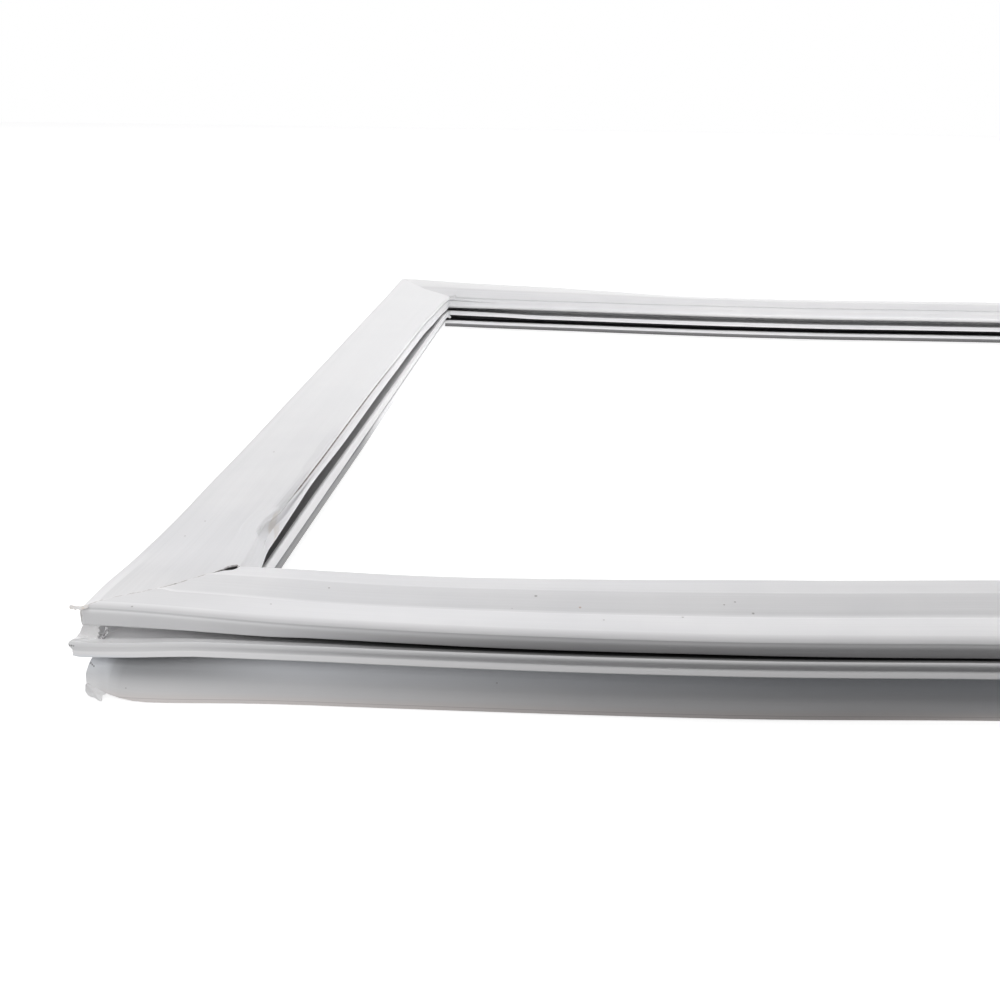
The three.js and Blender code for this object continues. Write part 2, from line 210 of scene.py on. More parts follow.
def to_frame(name, along, inward):
    """Side coordinates to the row frame, in mm, centred."""
    if name == "front":
        x, y = along, inward
    elif name == "right":
        x, y = SIZE_X - inward, along
    elif name == "back":
        x, y = SIZE_X - along, SIZE_Y - inward
    else:
        x, y = inward, SIZE_Y - along
    return x - SIZE_X / 2, y - SIZE_Y / 2


def curve_at(xs, ys, at):
    """Monotone cubic through the points."""
    xs, ys = np.array(xs, float), np.array(ys, float)
    slope = np.diff(ys) / np.diff(xs)
    tangent = np.zeros(len(xs))
    for k in range(1, len(xs) - 1):
        a, b = slope[k - 1], slope[k]
        tangent[k] = 0 if a * b <= 0 else 2 * a * b / (a + b)
    i = np.clip(np.searchsorted(xs, at, side="right") - 1, 0, len(xs) - 2)
    span = xs[i + 1] - xs[i]
    t = (at - xs[i]) / span
    t2, t3 = t * t, t * t * t
    return ((2 * t3 - 3 * t2 + 1) * ys[i] + (t3 - 2 * t2 + t) * span * tangent[i]
            + (3 * t2 - 2 * t3) * ys[i + 1] + (t3 - t2) * span * tangent[i + 1])


def column(rows, number, shares):
    return curve_at([r[0] for r in rows], [r[number] for r in rows], shares)


def smooth(value, start, end):
    t = np.clip((value - start) / (end - start), 0, 1)
    return t * t * (3 - 2 * t)


def between(value, low, high):
    return (value > low) & (value < high)


def rounded(corners, steps=5):
    """Closed section loop. A corner is (u, z, lift, lean, dark, rounding); dark is painted shade, 1 deep in a
    slot, and below 0 a painted highlight.
    """
    points = []
    for i, here in enumerate(corners):
        p = np.array(here[:5], float)
        if here[5] == 0:
            points.append(p)
            continue
        ends = []
        for other in (corners[i - 1], corners[(i + 1) % len(corners)]):
            q = np.array(other[:5], float)
            reach = math.hypot(q[0] - p[0], q[1] - p[1])
            ends.append(p + (q - p) * min(here[5] / reach, 0.45))
        for k in range(steps + 1):
            t = k / steps
            points.append((1 - t) ** 2 * ends[0] + 2 * t * (1 - t) * p + t * t * ends[1])
    return np.array(points)


def outer_corners(flat=0.0):
    """Outside of the section. Flat: the pocket's edge is pressed to a plain fold without its groove."""
    edge = FACE_WIDTH
    barb_outer = STEM_OUTER_U - 2.4
    return [
        (SLOT_DEPTH, HEAD_UNDER_Z - 0.15, 0.8, 1, 0.95, 0.3),
        (2.2, HEAD_UNDER_Z - 0.35, 0.75, 1, 0.9, 0),
        (0.15, HEAD_UNDER_Z - 0.5, 0.75, 1, 0.45, 0.35),
        (-0.05, FACE_Z - 1.75, 0.95, 1, 0.2, 0.5),
        (0.3, FACE_Z - 1.1, 1, 1, 0.3, 0.3),
        (0.35, FACE_Z - 0.9, 1, 1, 0.36, 0.25),
        (1.2, FACE_Z - 0.58, 1, 1, 0.34, 0.7),
        (2.9, FACE_Z - 0.18, 1, 1, 0.18, 1.0),
        (5.6, FACE_Z + 0.08, 1, 1, 0, 1.6),
        (FACE_TOP_U, FACE_TOP_Z, 1, 1, 0, 2.0),
        (CREASE_LINE_U - 1.0, FACE_Z - 0.02, 1, 1, 0, 0.7),
        (CREASE_LINE_U - 0.1, FACE_Z - CREASE_DEPTH, 1, 1, 0, 0.45),
        (CREASE_LINE_U + 2.4, FACE_Z - 0.05, 1, 1, 0, 1.3),
        (CREASE_U + 6.5, FACE_Z + 0.28, 1, 1, 0, 2.0),
        (FACE_WIDTH - 7.1, FACE_Z + 0.3, 1, 1, 0, 0.5),
        (FACE_WIDTH - 6.6, FACE_Z + 0.2, 1, 1, 0, 0.3),
        (SPLIT_FROM_U + 0.3, FACE_Z + 0.16, 1, 1, 0, 0),
        (SPLIT_FROM_U + 0.9, FACE_Z + 0.12, 1, 1, 0, 0),
        (SPLIT_FROM_U + 1.5, FACE_Z + 0.06, 1, 1, 0, 0),
        (edge, FACE_Z + 0.02, 1, 1, 0, 2.1 - 1.3 * flat),
        (edge + 0.1 * flat, FACE_Z - 1.9, 1, 1, 0, 0.6),
        (edge - 0.9 + 1.0 * flat, FACE_Z - 2.2, 1, 1, 0, 0.22),
        (edge + 0.15 - 0.05 * flat, FACE_Z - 2.6, 0.99, 0.96, 0, 0.4),
        (edge + 0.2 - 0.1 * flat, FACE_Z - 3.3, 0.99, 0.95, 0, 0.3),
        (edge + 0.02 + 0.08 * flat, FACE_Z - 3.6, 0.99, 0.95, 0, 0.15),
        (edge + 0.15, FACE_Z - 4.0, 0.99, 0.94, 0, 0.4),
        (edge + 0.1, CREVICE_TOP_Z + 2.4, 0.97, 0.9, 0, 1.6),
        (edge - 1.1, CREVICE_TOP_Z + 0.5, 0.93, 0.85, 0, 0),
        (edge - 1.4, CREVICE_TOP_Z, 0.93, 0.85, -0.9, 0.3),
        (edge - 1.6, CREVICE_TOP_Z, 0.92, 0.84, 0.78, 0),
        (CREVICE_END_U, CREVICE_TOP_Z, 0.25, 0.2, 0.78, 0),
        (CREVICE_END_U, CREVICE_Z, 0, 0.05, 0.8, 0),
        (FIN_U - 1.5, CREVICE_Z, 0, 0, 0.8, 0),
        (FIN_U - 1.32, CREVICE_Z + 0.02, 0.3, 0, 0.75, 0),
        (FIN_U - 1.18, CREVICE_Z + 0.04, 0.33, 0, -0.4, 0),
        (FIN_U - 0.1, CREVICE_Z + 0.04, 0.33, 0, -0.4, 0.4),
        (FIN_U, CREVICE_Z - 0.3, 0, 0, -0.2, 0.25),
        (FIN_U, FIN_UNDER_Z, 0, 0, 0, 0.6),
        (FIN_U - 1.6, FIN_UNDER_Z - 0.05, 0, 0, 0.9, 0),
        (STEM_INNER_U, FIN_UNDER_Z - 0.3, 0, 0, 1, 0.4),
        (STEM_INNER_U, BARB_TOP_Z, 0, 0, 1, 0.3),
        (BARB_U - 1.4, BARB_TOP_Z - 0.35, 0, 0, 0.9, 0),
        (BARB_U, BARB_TOP_Z - 0.5, 0, 0, 0, 0.5),
        (BARB_U, BARB_TOP_Z - 2.2, 0, 0, 0.05, 0),
        (BARB_U - 0.15, BARB_TOP_Z - 2.5, 0, 0, 0.7, 0),
        (BARB_U - 0.4, BARB_TOP_Z - 4.4, 0, 0, 0.8, 0.3),
        (STEM_INNER_U + 0.6, 0, 0, 0, 0.6, 0.7),
        (STEM_OUTER_U, 0, 0, 0, 0.4, 0.7),
        (barb_outer, BARB_TOP_Z - 2.6, 0, 0, 0.5, 0.4),
        (barb_outer, BARB_TOP_Z - 0.8, 0, 0, 0.5, 0.4),
        (STEM_OUTER_U, BARB_TOP_Z, 0, 0, 0.6, 0.3),
        (STEM_OUTER_U, PLATE_UNDER_Z, 0, 0, 0.6, 0.4),
        (9, LIP_UNDER_Z + 0.3, 0, 0, 0.4, 1.0),
        (5.6, LIP_UNDER_Z + 0.3, 0, 0, 0.3, 0.9),
        (SKIRT_WALL + 0.9, 8, 0, 0, 0.2, 1.6),
        (SKIRT_WALL - SKIRT_BULGE, 4, 0, 0, 0.1, 1.9),
        (SKIRT_WALL, 0, 0, 0, 0, 0.3),
        (-0.45, 0, 0, 0, 0, 0.3),
        (-0.5, 0.95, 0, 0, 0, 0.3),
        (-SKIRT_BULGE - 0.1, 4, 0, 0, 0, 1.9),
        (0.7, 8.6, 0, 0, -0.3, 1.8),
        (3, LIP_UNDER_Z, 0, 0, -0.8, 0.3),
        (-LIP_REACH + 1.3, LIP_UNDER_Z - 0.1, 0, 0, 0.25, 0),
        (-LIP_REACH, LIP_UNDER_Z - 0.2, 0, 0, -0.6, 0.2),
        (-LIP_REACH + 0.05, LIP_UNDER_Z + 0.1, 0, 0, -1, 0),
        (-LIP_REACH + 1.15, LIP_UNDER_Z + 1.05, 0, 0, -0.9, 0),
        (-LIP_REACH + 1.3, LIP_UNDER_Z + 1.3, 0, 0, 0.3, 0.2),
        (-LIP_REACH + 1.2, LIP_UNDER_Z + 1.8, 0, 0, 0.2, 0),
        (-LIP_REACH + 0.85, LIP_UNDER_Z + 2.25, 0, 0, -0.3, 0.4),
        (-LIP_REACH + 0.85, HEAD_UNDER_Z - 1.1, 0, 0, -0.6, 0.3),
        (-LIP_REACH + 1.2, HEAD_UNDER_Z - 0.68, 0, 0, -0.2, 0.2),
        (-LIP_REACH + 1.7, HEAD_UNDER_Z - 0.72, 0, 0, 0.6, 0),
        (0.2, HEAD_UNDER_Z - 1.05, 0, 0, 0.8, 0.4),
        (2.4, HEAD_UNDER_Z - 1.15, 0, 0.2, 0.9, 0),
        (SLOT_DEPTH, HEAD_UNDER_Z - 1.25, 0, 0.6, 1, 0.2),
    ]


PLAIN = rounded(outer_corners())
FLAT = rounded(outer_corners(1.0))
GIRTH = np.cumsum(np.linalg.norm(np.diff(PLAIN[:, :2], axis=0, prepend=PLAIN[-1:, :2]), axis=1))
GROOVE_GIRTH = GIRTH[np.argmin(np.hypot(PLAIN[:, 0] - FACE_WIDTH + 0.8, PLAIN[:, 1] - FACE_Z + 2.15))]


def lift_at(rows, share, inward):
    outer, crease, inner = (column(rows, k, share)[:, None] for k in (OUTER, CREASE, INNER))
    low = outer + (crease - outer) * np.maximum(inward, 0) / CREASE_U
    high = crease + (inner - crease) * (inward - CREASE_U) / (FACE_WIDTH - CREASE_U)
    return np.where(inward < CREASE_U, low, high)


def crease_fill(name, along):
    """How far the crease is filled. It shows on the front and right sides and at the back's right end."""
    if name == "front":
        return smooth(along, *FRONT_CREASE_RUN)
    if name == "right":
        return np.zeros(along.shape)
    if name == "back":
        return smooth(along, *BACK_CREASE_RUN)
    return np.ones(along.shape)


def side_points(name, length, shares):
    """Section points of every ring of a side before they are placed; u and z are views of them."""
    points = np.repeat(PLAIN[None], len(shares), 0)
    u, z = points[..., 0], points[..., 1]
    along = u + shares[:, None] * (length - 2 * u)
    crossing = (z > FACE_Z - 1) & between(u, *CREASE_ZONE_U)
    level = FACE_TOP_Z + FACE_TILT * (u - FACE_TOP_U)
    filled = crease_fill(name, along) * crossing
    z += filled * (level - z)
    if name == "front":
        lip = (u < -1.5) & between(z, LIP_UNDER_Z + 0.5, HEAD_UNDER_Z - 0.6)
        plain = -LIP_REACH + 0.15 + 0.14 * (z - LIP_UNDER_Z)
        u += LIP_PRESSED * lip * (1 - smooth(along, *LIP_PRESSED_RUN)) * (plain - u)
    if name in ("left", "back"):
        away = length * (shares if name == "back" else 1 - shares)
        fill = EDGE_FILL * smooth(away, *EDGE_FILL_RUN)[:, None] * smooth(u, 3.5, 1.4)
        fill = fill * (z > FACE_Z - 2)
        u -= fill
        z += 0.5 * fill
    if name == "back":
        away = length * np.minimum(shares, 1 - shares)
        points += BACK_FLAT * (FLAT - PLAIN)[None] * smooth(away, *BACK_FLAT_RUN)[:, None, None]
        fin = (u > 25) & between(z, 7, CREVICE_Z + 0.1)
        z -= FAR_FIN_DROP * fin * smooth(away, *FAR_FIN_RUN)[:, None]
    if name == "left":
        shape_left(length, length - along, points)
    return points


def shape_left(length, away, points):
    """Changes the left side's points: the pinched end, the barb and the shifted edge of the pocket."""
    u, z = points[..., 0], points[..., 1]
    points += (FLAT - PLAIN)[None] * (1 - smooth(away, *NOSE_RUN))[..., None]
    rolled = (u > FACE_WIDTH - 2) & between(z, FACE_Z - 3.8, FACE_Z - 1.7)
    z += NOSE_THIN * rolled * (1 - smooth(away, *NOSE_THIN_TO)) * smooth(away, *NOSE_THIN_FROM)
    barb = (z < BARB_TOP_Z) & (u > STEM_INNER_U + 1)
    u -= NEAR_BARB_SHIFT * barb * (1 - smooth(away, *NEAR_BARB_RUN))
    shift = curve_at(*zip(*EDGE_SHIFT), np.clip(away, 0, length))
    inward_part = smooth(u, 19, 29)
    upper_part = np.clip((z - 12.4) / 5.0, 0, 1)
    u += shift * inward_part * upper_part * (points[..., 3] > 0.84)


def place(name, length, rows, shares, points):
    """Section points, one loop for each share, to positions in mm."""
    u, z, lift, lean = (points[..., k] for k in range(4))
    share = shares[:, None]
    along = u + share * (length - 2 * u)
    weld = np.maximum(0, np.minimum(along, length - along))
    raised = lift_at(rows, shares, u) * lift
    roof = (u > STEM_INNER_U) & between(z, CREVICE_Z, HEAD_UNDER_Z - 1)
    near_left = (name == "left") & (share > 0.5)
    open_run = np.where(near_left, NEAR_LEFT_OPEN_RUN, CREVICE_OPEN_RUN)
    opened = np.maximum(raised * smooth(weld, CREVICE_SHUT_RUN, open_run), 0)
    if name == "left":
        opened = opened * (1 + LEFT_OPEN_MORE * smooth(share, *LEFT_OPEN_SHARES))
        mouth = smooth(weld, *MOUTH_FROM) * (1 - smooth(weld, *MOUTH_TO)) * near_left
        opened = opened + MOUTH_RAISE * mouth * (lean > 0.5)
    if name == "back":
        opened = opened + BACK_ROOF_RAISE * smooth(weld, *BACK_ROOF_RUN) * (lean > 0.5)
    raised = np.where(roof, opened, raised)
    if name == "front":
        lip = (u < LIP_ROOT_U) & between(z, SKIRT_TOP_Z, HEAD_UNDER_Z - 0.66)
        wave = np.where(lip, curve_at(*zip(*LIP_WAVE), along), 0)
        raised = raised + wave * np.clip((LIP_ROOT_U - u) / LIP_ROOT_U, 0, 1)
        wall = (u < SLOT_DEPTH + 0.1) & between(z, HEAD_UNDER_Z - 0.6, HEAD_UNDER_Z + 0.4)
        raised = raised + np.where(wall, curve_at(*zip(*WALL_WAVE), along), 0)
    free = np.where((u <= LIP_ROOT_U) & (z < SKIRT_TOP_Z), 1 - z / LIP_UNDER_Z, 0)
    near = np.maximum(0, 1 - weld / SKIRT_LIFT_RUN)
    flare = np.sin(math.pi * np.sqrt(np.minimum(1, weld / SKIRT_FLARE_RUN)))
    lean_in, bow, slide = (column(rows, k, shares)[:, None] for k in (LEAN, BOW, SLIDE))
    inward = u + lean_in * lean + bow - SKIRT_FLARE * flare * flare * free
    up = z + raised + SKIRT_LIFT * near * near * free
    return along + slide * lean, inward, up, weld


def split_weld(name, length, shares, points, along, up):
    """Opens the lens-shaped split: the mitre ring sinks and the rings beside it part."""
    if name not in ("front", "left"):
        return along, up
    t = np.clip((points[..., 0] - SPLIT_FROM_U) / (SPLIT_TO_U - SPLIT_FROM_U), 0, 1)
    top = (points[..., 1] > FACE_RIM_Z) & (points[..., 3] == 1)
    half = np.where(top, SPLIT_HALF * np.sin(math.pi * t) ** 0.8, 0)
    reach = length * (shares if name == "front" else 1 - shares)[:, None]
    side = 1 if name == "front" else -1
    beside = reach > MITRE_REACH
    wall = beside & (reach < SPLIT_WALL_REACH)
    parted = np.where(wall, 0.85, np.exp(-reach / SPLIT_PART_RUN)) * beside
    along = along + side * half * parted
    open_part = np.minimum(1, half / SPLIT_HALF * 1.6)
    sunk = open_part * np.where(wall, 0.6, SPLIT_DEPTH * (reach < MITRE_REACH))
    gape = SPLIT_GAPE[name] * (half / SPLIT_HALF) * np.exp(-(reach / SPLIT_GAPE_RUN) ** 2) * beside
    return along, up - sunk + gape


def ring_shares(name, length):
    """Shares of a side's rings: close together by the welds and at the pinched end."""
    near = [0, 0.02, 0.04, 0.3, 0.8, 1.5, 2.5, 4, 6, 8.5, 11.5, 15, 19, 24, 30, 37, 44]
    middle = list(np.linspace(near[-1], length - near[-1], int((length - 2 * near[-1]) / RING_STEP)))[1:-1]
    end = near[1:]
    if name == "left":
        nose = [66, 62, 59, 56.5, 54, 52, 50, 48.5, 47, 46, 45, 44, 43, 42, 41, 40, 38, 35, 31, 27]
        middle = [m for m in middle if m < length - nose[0] - NOSE_RING_GAP] + [length - n for n in nose]
        end = [n for n in end if n < nose[-1]]
    marks = near + middle + [length - n for n in reversed(end)]
    return np.array(marks) / length


def dented(places):
    for x, y, z, radius, *push in DENTS:
        gap = np.linalg.norm(places - (x, y, z), axis=-1)
        places = places + np.exp(-(gap / radius) ** 2)[..., None] * push
    return places


def shade_left(length, u, z, along, dark, crevice, fin):
    """A painted highlight whitens the left side's face away from the near corner; a fold of painted shade
    runs along its pinched end.
    """
    away = length - along
    dark = np.where(crevice, curve_at(*zip(*CREVICE_SHADE), np.clip(away, 0, length)), dark)
    dark = np.where(crevice, dark * smooth(along, *FAR_CREVICE_RUN), dark)
    far = smooth(away, *BARB_SHADE_RUN)
    barb = (u > BARB_U - 1.8) & (z < BARB_TOP_Z)
    near_barb = NEAR_BARB_SHADE + NEAR_BARB_SHADE_RISE * z
    dark = np.where(barb, near_barb * (1 - far) + FAR_BARB_SHADE * far, dark)
    dark = np.where(fin, FIN_SHADE, dark)
    top = (z > FACE_RIM_Z) & (u > 0.5)
    face = LEFT_FACE_SHADE * smooth(away, *LEFT_FACE_RUN) ** 0.5
    dark = np.where(top, face + LEFT_CORNER_SHADE * (1 - smooth(away, *NEAR_CORNER_RUN)), dark)
    fold = (z > FACE_Z - 1.8) & (u > FACE_WIDTH - 3)
    dark = dark + FOLD_SHADE * fold * smooth(away, *FOLD_FROM) * (1 - smooth(away, *FOLD_TO))
    line = (abs(z - FACE_Z + 3.6) < 0.08) & (u > FACE_WIDTH - 2)
    return dark + NOSE_LINE_SHADE * line * smooth(away, *NOSE_LINE_FROM) * (1 - smooth(away, *NOSE_LINE_TO))


def shade_front(u, z, along, dark):
    """Painted shade makes the front side's inner facet greyer and lies by the near left corner; a painted
    highlight whitens the skirt by the weld, and the lip's painted highlights are weaker near the corner.
    """
    top = (z > FACE_Z - 0.7) & (u > 3.4)
    inner_facet = INNER_FACET_SHADE * smooth(u, *INNER_FACET_U) * (u < FACE_WIDTH - 6.8)
    outer_facet = FRONT_CORNER_SHADE * (1 - smooth(along, *NEAR_CORNER_RUN)) * (u < INNER_FACET_U[0])
    dark = np.where(top, inner_facet + outer_facet, dark)
    skirt = between(u, -2, 3.1) & (z < LIP_UNDER_Z + 0.01)
    corner = smooth(along, *SKIRT_CORNER_FROM) * (1 - smooth(along, *SKIRT_CORNER_TO))
    corner = corner * (SKIRT_CORNER_SHADE + SKIRT_CORNER_RISE * smooth(z, *SKIRT_CORNER_Z))
    corner = corner + SKIRT_WELD_SHADE * (1 - smooth(along, *SKIRT_WELD_RUN))
    dark = np.where(skirt, dark * smooth(along, *SKIRT_SHADE_RUN) + corner, dark)
    lip = (u < -1.5) & (z > LIP_UNDER_Z - 0.3) & (dark < 0)
    part = LIP_SHADE_LEAST + (1 - LIP_SHADE_LEAST) * smooth(along, *LIP_SHADE_RUN)
    return np.where(lip, dark * part, dark)


def shade_back(u, z, weld, dark, crevice):
    """A painted highlight whitens the back side's outer facet, and painted shade lies in its crevice and just
    above it.
    """
    fade = BACK_CREVICE_FADE * smooth(weld, *BACK_CREVICE_RUN)
    dark = np.where(crevice, BACK_CREVICE_SHADE - fade, dark)
    low = np.clip((CREVICE_TOP_Z + BACK_FOOT_HEIGHT - z) / BACK_FOOT_HEIGHT, 0, 1)
    low = low * (u > 28.8) * (z > CREVICE_TOP_Z - 0.01)
    dark = np.where(low > 0, BACK_FOOT_SHADE * low, dark)
    outer = (z > FACE_Z - 1.5) & (u < BACK_FACE_U[0])
    return np.where(outer, BACK_FACE_SHADE * smooth(u, *BACK_FACE_U), dark)


def shade(side, length, points, along, weld):
    """How much painted shade each point has: 1 is painted black deep in a slot, and below 0 a painted
    highlight makes the surface whiter.
    """
    u, z, dark = points[..., 0], points[..., 1], points[..., 4]
    slot = (u < SLOT_DEPTH + 0.4) & between(z, LIP_UNDER_Z + 2.2, FACE_Z - 1.3) & (dark > 0)
    part = smooth(weld, *SLOT_SHADE_RUN) * (1 - SLOT_SHADE_LEAST) + SLOT_SHADE_LEAST
    dark = dark * np.where(slot, part, 1)
    lip_groove = (u < -1.9) & between(z, LIP_UNDER_Z + 1.1, LIP_UNDER_Z + 2.1) & (dark > 0)
    dark = dark * np.where(lip_groove, smooth(weld, *GROOVE_SHADE_RUN), 1)
    crevice = between(z, CREVICE_Z - FAR_FIN_DROP - 0.1, CREVICE_TOP_Z + 0.05) & (dark > 0.5)
    crevice = crevice & (u > CREVICE_END_U - 0.5)
    fin = (u > 25.5) & between(z, CREVICE_Z - 0.1, CREVICE_Z + 0.1) & (dark < 0.5)
    if side == "left":
        dark = shade_left(length, u, z, along, dark, crevice, fin)
    if side == "front":
        return shade_front(u, z, along, dark)
    dark = np.where((u < 3.4) & (z > FACE_Z - 1.3), np.minimum(dark, 0), dark)
    if side == "back":
        dark = shade_back(u, z, weld, dark, crevice)
    return dark


def skin(name):
    """The frame's closed skin round all four sides, with a section attribute and an attribute that holds
    painted shade and highlights and the weld seams.
    """
    verts, line, shade_and_seam = [], [], []
    for side, length, rows in SIDES:
        shares = ring_shares(side, length)
        points = side_points(side, length, shares)
        along, inward, up, weld = place(side, length, rows, shares, points)
        mitre = np.minimum(1, shares)[:, None] * (length - 2 * points[..., 0])
        from_mitre = np.minimum(mitre, length - 2 * points[..., 0] - mitre)
        along, up = split_weld(side, length, shares, points, along, up)
        x, y = to_frame(side, along, inward)
        verts.append(dented(np.stack([x, y, up], -1)))
        shape = along.shape
        line.append(np.stack([np.broadcast_to(GIRTH, shape), along, np.zeros(shape)], -1))
        near_left = (shares < 0.5) if side == "front" else (shares > 0.5)
        near_left = near_left & (side in ("front", "left"))
        strength = np.where(near_left, 1.0, FAR_SEAM_STRENGTH)[:, None]
        dark = shade(side, length, points, along, weld)
        reach = length * np.minimum(shares, 1 - shares)[:, None]
        t = (points[..., 0] - SPLIT_FROM_U) / (SPLIT_TO_U - SPLIT_FROM_U)
        lens = between(t, 0.02, 0.98) & (points[..., 1] > FACE_RIM_Z) & (points[..., 3] == 1)
        lens = lens & near_left[:, None]
        # Painted highlight on the split's rims and painted shade down its walls.
        dark = np.where(lens & (reach < SPLIT_HIGHLIGHT_REACH), -1.0, dark)
        dark = np.where(lens & (reach < SPLIT_WALL_REACH), 1.0, dark)
        seam = np.minimum(from_mitre, SEAM_RUN)
        # First value: painted shade, where 1 paints near black deep in slots and below 0 paints a highlight;
        # then the seam's distance and strength.
        shade_and_seam.append(np.stack([dark, seam, np.broadcast_to(strength, shape)], -1))
    verts, line, shade_and_seam = (np.concatenate(part) for part in (verts, line, shade_and_seam))
    rings, size = verts.shape[:2]
    index = np.arange(rings * size).reshape(rings, size)
    ahead = np.roll(index, -1, axis=0)
    quads = np.stack([index, np.roll(index, -1, axis=1), np.roll(ahead, -1, axis=1), ahead], -1)
    mesh = bpy.data.meshes.new(name)
    mesh.from_pydata((verts * MM).reshape(-1, 3).tolist(), [], quads.reshape(-1, 4).tolist())
    for label, values in (("line", line), ("shade_and_seam", shade_and_seam)):
        layer = mesh.attributes.new(label, "FLOAT_VECTOR", "POINT")
        layer.data.foreach_set("vector", values.reshape(-1).astype(np.float32))
    mesh.update()
    obj = bpy.data.objects.new(name, mesh)
    bpy.context.scene.collection.objects.link(obj)
    return obj


body = skin("gasket_skin")


# Materials
class Net:
    """Short ways to add nodes to a material or world."""

    def __init__(self, owner):
        owner.use_nodes = True
        self.nodes, self.links = owner.node_tree.nodes, owner.node_tree.links

    def feed(self, socket, value):
        if isinstance(value, bpy.types.NodeSocket):
            self.links.new(value, socket)
        else:
            socket.default_value = value

    def add(self, kind, values=(), **props):
        node = self.nodes.new("ShaderNode" + kind)
        for name, value in props.items():
            setattr(node, name, value)
        for name, value in dict(values).items():
            self.feed(node.inputs[name], value)
        return node

    def math(self, operation, *values):
        return self.add("Math", enumerate(values), operation=operation).outputs[0]

    def vector(self, operation, *values):
        node = self.add("VectorMath", enumerate(values), operation=operation)
        return node.outputs["Value" if operation == "DISTANCE" else "Vector"]

    def band(self, value, low, high, to_low=0.0, to_high=1.0):
        """Smooth step of a value from one number to another."""
        ends = {"Value": value, "From Min": low, "From Max": high, "To Min": to_low, "To Max": to_high}
        return self.add("MapRange", ends, interpolation_type="SMOOTHSTEP").outputs["Result"]

    def noise(self, vector, scale, detail=3.0, roughness=0.5):
        values = {"Vector": vector, "Scale": scale, "Detail": detail, "Roughness": roughness}
        return self.add("TexNoise", values).outputs["Fac"]

    def mix(self, factor, first, second, blend="MIX"):
        node = self.nodes.new("ShaderNodeMix")
        node.data_type = "RGBA"
        node.blend_type = blend
        for socket, value in ((node.inputs[0], factor), (node.inputs[6], first), (node.inputs[7], second)):
            self.feed(socket, value)
        return node.outputs[2]

    def split(self, vector):
        return self.add("SeparateXYZ", {"Vector": vector}).outputs

    def attribute(self, name):
        return self.split(self.add("Attribute", attribute_name=name).outputs["Vector"])

    def places(self):
        """Place on the object, in mm."""
        coords = self.add("TexCoord").outputs["Object"]
        return self.vector("MULTIPLY", coords, (1000, 1000, 1000))


# Colours
# The last colour in the line below is the white of painted highlights.
PVC_GREY, PVC_PALE, PAINTED_HIGHLIGHT_WHITE = (0.80, 0.80, 0.81, 1), (0.85, 0.847, 0.85, 1), (0.98, 0.98, 0.98, 1)
# The last colour in the line below is the near black of painted shade in slots and crevices.
STREAK, PAINTED_SLOT_SHADE = (0.6, 0.6, 0.62, 1), (0.015, 0.014, 0.015, 1)
SEAM_PALE, SEAM_BROWN = (0.93, 0.92, 0.92, 1), (0.36, 0.33, 0.31, 1)
GROOVE_BROWN, RUN_TAN = (0.20, 0.155, 0.12, 1), (0.50, 0.43, 0.34, 1)
# The last two colours in the line below are painted shade: the skirt's cool tint and its thin grey rim.
SKIRT_WARM, SKIRT_COOL_SHADE, SKIRT_RIM_SHADE = (0.84, 0.76, 0.72, 1), (0.77, 0.805, 0.85, 1), (0.35, 0.32, 0.31, 1)
# The last colour in the line below is the dark grey of painted shade on the slot's curl.
FRAYED, FRAYED_TAN, CURL_SHADE_GREY = (0.6, 0.54, 0.46, 1), (0.74, 0.62, 0.48, 1), (0.12, 0.11, 0.12, 1)
MAGNET_DARK, MAGNET_BROWN = (0.018, 0.013, 0.01, 1), (0.045, 0.034, 0.028, 1)
DIRT, RUST, CRACK = (0.25, 0.23, 0.22, 1), (0.45, 0.25, 0.14, 1), (0.1, 0.09, 0.09, 1)

# Places of seams, stains, the skirt's warm foot and its painted shade, in mm on the object: a mark comes from
# the first number to the second
SEAM_Z = (17.2, 18.6)
GROOVE_X = (-312, -316)
GROOVE_NEAR_Y = (80, -60)
GROOVE_END_Y = (-215.5, -213)
RUN_TOP_Z = 24.0
RUN_SLOPE = 1.9
RUNS = [(203.2, 0.32), (200.6, 0.26)]
RUN_WIDTH = (2.4, 0.2)
RUN_X = (-319, -320)
RUN_END_X = (-325, -323.5)
RUN_UPPER_Z = (23.6, 22.5)
RUN_LOWER_Z = (11.5, 15.0)
FRONT_SKIRT_Y = (-262, -266)
SKIRT_WARM_Z = (3.4, 0.3)
SKIRT_RIM_SHADE_Z = 1.0
SKIRT_COOL_SHADE_Z = (3.0, 8.5)
SKIRT_COOL_SHADE_TOP_Z = (12.4, 11.6)

# Specks of dirt and short cracks: place and radius in mm, and tint
SPECKS = [
    (-338.8, -283.3, 22.6, 0.42, DIRT), (-308.9, -287.4, 15.6, 0.3, DIRT), (-307.2, -275.6, 21.7, 0.35, DIRT),
    (-340.3, -287.0, 3.3, 0.2, DIRT), (-339.2, -131.7, 21.7, 0.5, DIRT), (-342.7, -225.8, 21.8, 0.4, DIRT),
    (-341.1, -211.1, 21.6, 0.4, DIRT), (-295.2, -264.0, 22.1, 0.35, DIRT), (-243.8, -263.4, 21.7, 0.55, DIRT),
    (-191.0, -267.1, 20.5, 0.5, DIRT), (-232.8, -267.4, 20.5, 0.5, RUST), (-249.3, -268.8, 20.1, 0.35, DIRT),
    (-227.0, -274.7, 20.4, 0.35, DIRT), (-208.1, -271.0, 20.5, 0.45, DIRT),
    (-195.1, -263.2, 22.0, 0.35, DIRT), (-197.8, -264.4, 21.5, 0.35, DIRT), (-251.7, -284.1, 7.2, 0.22, DIRT),
    (-353.0, -287.9, 14.1, 0.3, CRACK), (-352.5, -287.9, 14.05, 0.32, CRACK),
    (-352.0, -287.9, 14.0, 0.25, CRACK), (-349.3, -284.7, 8.4, 0.3, CRACK),
    (-348.9, -284.9, 8.1, 0.3, CRACK), (-348.5, -285.1, 7.8, 0.3, CRACK),
]


